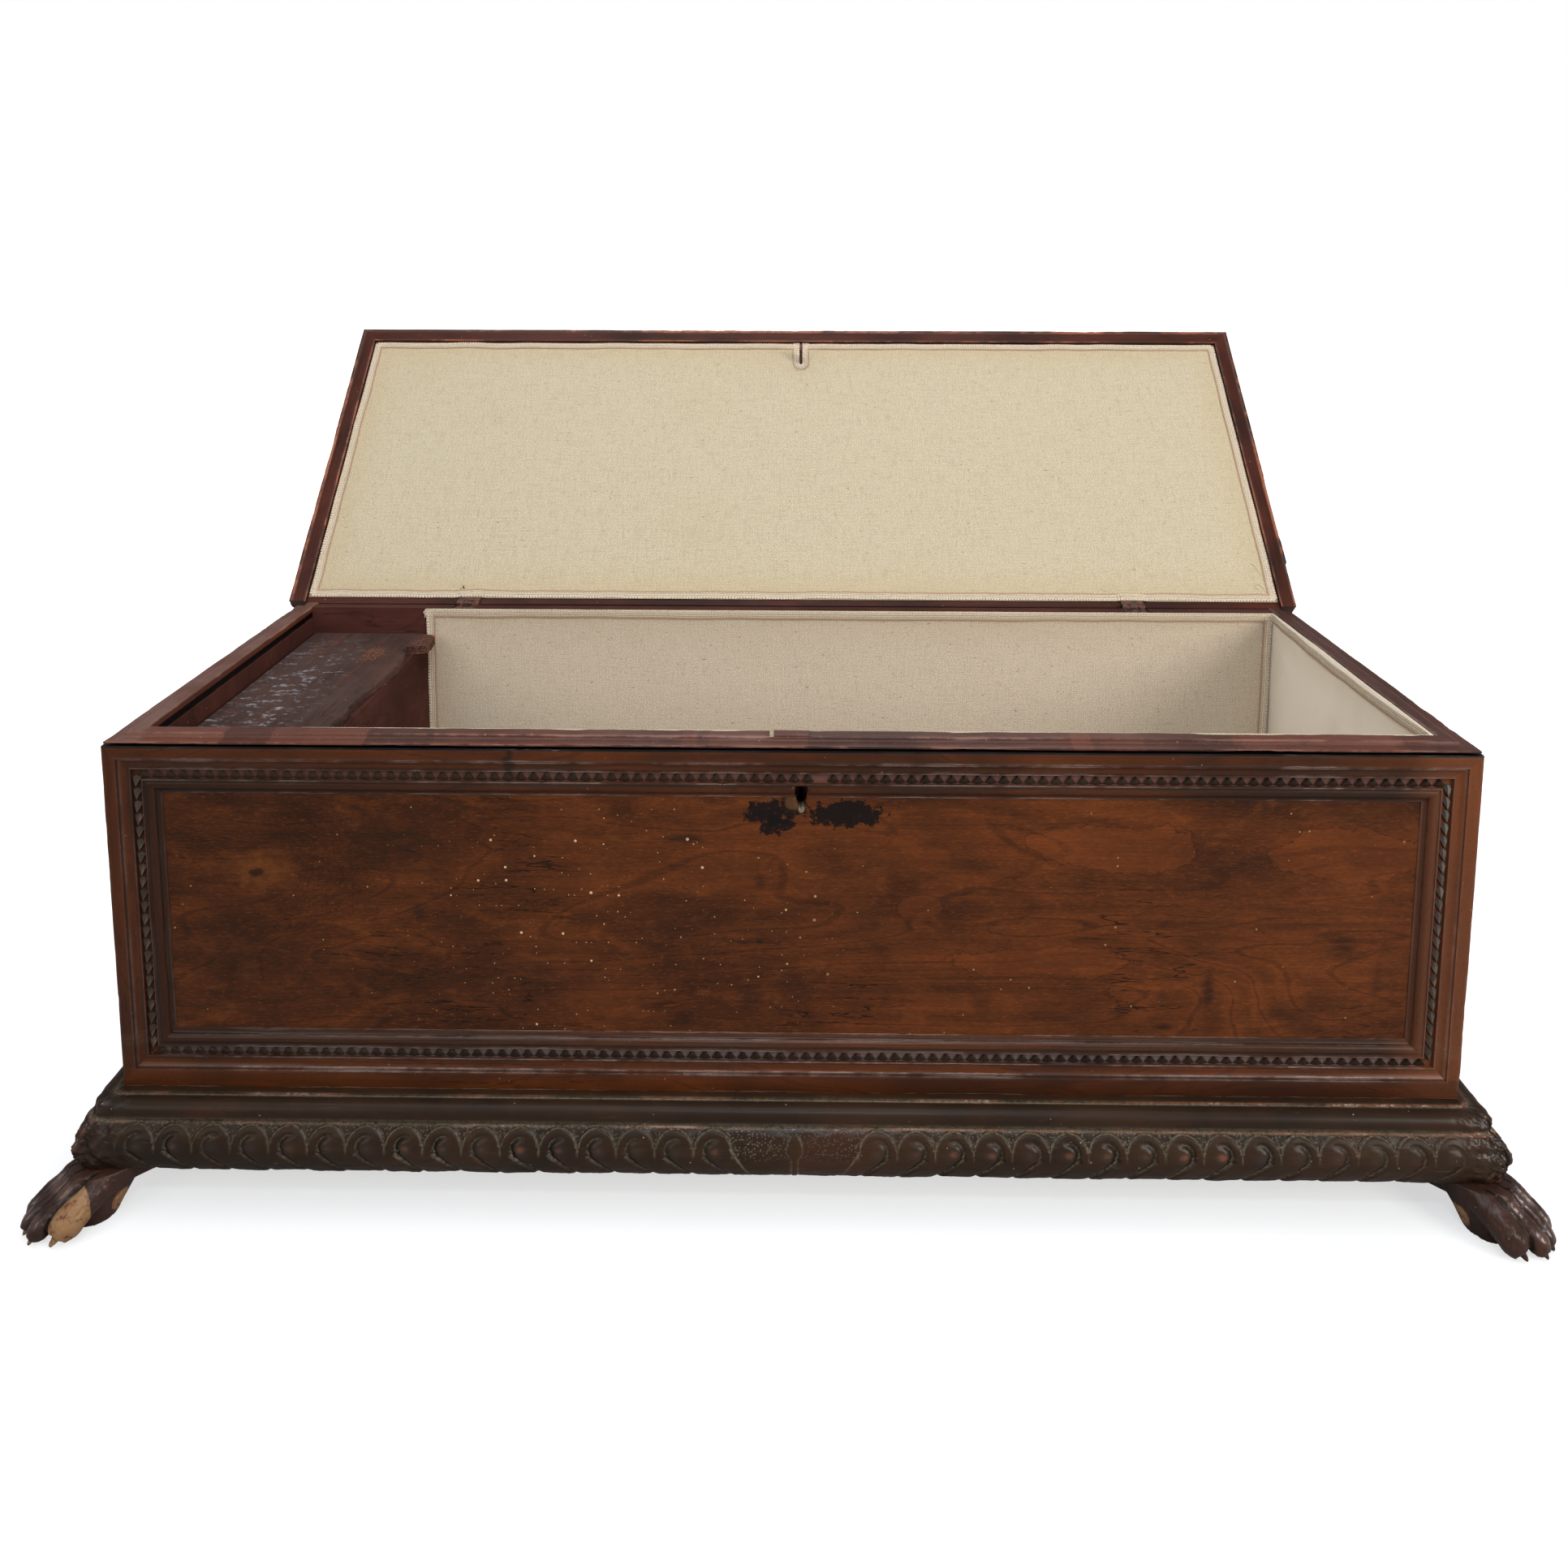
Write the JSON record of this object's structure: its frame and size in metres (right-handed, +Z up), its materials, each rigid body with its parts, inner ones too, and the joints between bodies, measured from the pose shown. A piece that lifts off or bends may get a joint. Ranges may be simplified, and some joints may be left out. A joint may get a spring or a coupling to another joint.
{
  "type": "cassone",
  "caption": "Low walnut chest with a hinged lid, framed front panel, gadrooned base, paw front feet, linen lining and an end till with its own pivoting lid.",
  "frame": {"origin": "on the floor, under the middle of the case: halfway between the end frames, and halfway between the face of the front frame and the back of the case", "axes": "+Z up; the front with the keyhole faces -Y; +X runs along the chest to the right as seen from the front; the lid is hinged at the back and stands open at rest"},
  "size_m": [1.8018, 1.072, 0.9917],
  "materials": {
    "walnut_panel": "waxed walnut, warm mid brown with dark mottling, satin",
    "walnut_board": "old walnut, dull",
    "poplar": "bare softwood, aged",
    "walnut_rim": "bare red-brown walnut, worn",
    "walnut_frame": "waxed walnut moulding, satin with worn edges",
    "walnut_base": "very dark waxed walnut with dust in the recesses",
    "till_wood": "unfinished grey-brown walnut, worm-eaten edge",
    "case_linen": "natural linen, plain weave",
    "gimp": "cotton gimp braid with an orange-brown stitch line",
    "iron": "wrought iron, rusty brown",
    "walnut_lid": "dark red-brown walnut, satin",
    "lid_linen": "cream linen, plain weave with slubs"
  },
  "bodies": {
    "case": {"front_board": "walnut_panel", "back_board": "walnut_board", "left_end_board": "walnut_board", "right_end_board": "walnut_board", "bottom_board_front": "poplar", "bottom_board_middle": "poplar", "bottom_board_rear": "poplar", "bottom_battens": "poplar", "front_rim_rail": "walnut_rim", "left_rim_rail": "walnut_rim", "right_rim_rail": "walnut_rim", "rim_patch": "walnut_rim", "frame_top_rail": "walnut_frame", "frame_bottom_rail": "walnut_frame", "frame_left_stile": "walnut_frame", "frame_right_stile": "walnut_frame", "dogtooth_top_rail": "walnut_frame", "dogtooth_bottom_rail": "walnut_frame", "dogtooth_left_stile": "walnut_frame", "dogtooth_right_stile": "walnut_frame", "left_end_frame": "walnut_frame", "right_end_frame": "walnut_frame", "base_front": "walnut_base", "base_left": "walnut_base", "base_right": "walnut_base", "foot_blocks": "poplar", "foot_dowels": "poplar", "front_left_paw": "walnut_base", "front_right_paw": "walnut_base", "rear_left_foot": "walnut_base", "rear_right_foot": "walnut_base", "till_side": "till_wood", "till_bottom": "till_wood", "floor_lining": "case_linen", "back_lining": "case_linen", "right_lining": "case_linen", "front_lining": "case_linen", "back_braid": "gimp", "right_braid": "gimp", "lock_plate": "iron", "lock_case": "iron", "key_pin": "iron", "lock_nails": "iron", "left_hinge_case_leaf": "iron", "right_hinge_case_leaf": "iron", "hinge_pins": "iron", "hinge_case_nails": "iron"},
    "lid": {"lid_board": "walnut_lid", "lid_front_moulding": "walnut_lid", "lid_left_moulding": "walnut_lid", "lid_right_moulding": "walnut_lid", "lid_lining": "lid_linen", "lid_braid": "gimp", "lid_staple": "iron", "left_hinge_lid_leaf": "iron", "right_hinge_lid_leaf": "iron", "hinge_lid_nails": "iron"},
    "till_lid": {"till_lid": "till_wood"},
    "lock_bolt": {"lock_bolt": "iron"}
  },
  "joints": [
    {"name": "lid_hinge", "type": "hinge", "parent": "case", "child": "lid", "pos_m": [0, 0.2815, 0.57425], "axis": [1, 0, 0], "range_deg": [0, 133.5]},
    {"name": "till_lid_pivot", "type": "hinge", "parent": "case", "child": "till_lid", "pos_m": [-0.748, 0.0055, 0.528], "axis": [0, 1, 0], "range_deg": [-12, 0]},
    {"name": "lock_bolt_slide", "type": "slide", "parent": "case", "child": "lock_bolt", "axis": [1, 0, 0], "range_m": [0, 0.012]}
  ]
}
